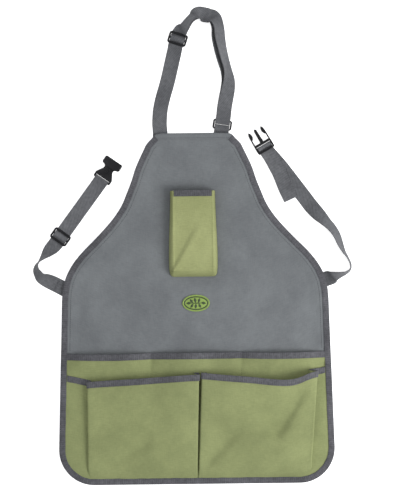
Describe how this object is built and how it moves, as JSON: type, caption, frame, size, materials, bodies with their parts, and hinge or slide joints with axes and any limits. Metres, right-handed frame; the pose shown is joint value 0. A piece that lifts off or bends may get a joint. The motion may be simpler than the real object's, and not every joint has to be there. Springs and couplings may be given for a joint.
{
  "type": "gardening apron",
  "caption": "Cloth gardening apron with a bib, tool pockets, a webbing neck strap and waist straps with a side-release buckle, lying flat.",
  "frame": {"origin": "on the flat back of the panel, on its centre line, 336 mm above the hem and 260 mm below the bib's top edge", "axes": "+X across the apron towards the buckle's plug half, +Y from the hem towards the neck, +Z out of the front of the cloth"},
  "size_m": [0.5406, 0.8089, 0.0291],
  "materials": {
    "panel_cloth": "woven, dull",
    "pocket_cloth": "woven, dull",
    "binding_tape": "ribbed, dull",
    "webbing": "twill woven, dull",
    "black_plastic": "satin",
    "patch": "embroidered"
  },
  "bodies": {
    "root": {"body_panel": "panel_cloth", "edge_binding": "binding_tape", "bib_hem": "panel_cloth", "holster_pocket": "pocket_cloth", "holster_binding": "binding_tape", "emblem_patch": "patch", "tool_pocket": "pocket_cloth", "tool_pocket_binding": "binding_tape", "front_pocket_left": "pocket_cloth", "front_pocket_left_binding": "binding_tape", "front_pocket_right": "pocket_cloth", "front_pocket_right_binding": "binding_tape", "neck_strap": "webbing", "neck_slider": "black_plastic", "neck_ring": "black_plastic", "neck_tab": "webbing", "waist_strap_left": "webbing", "waist_slider": "black_plastic", "buckle_socket": "black_plastic", "waist_strap_right": "webbing", "buckle_plug": "black_plastic"}
  },
  "joints": []
}
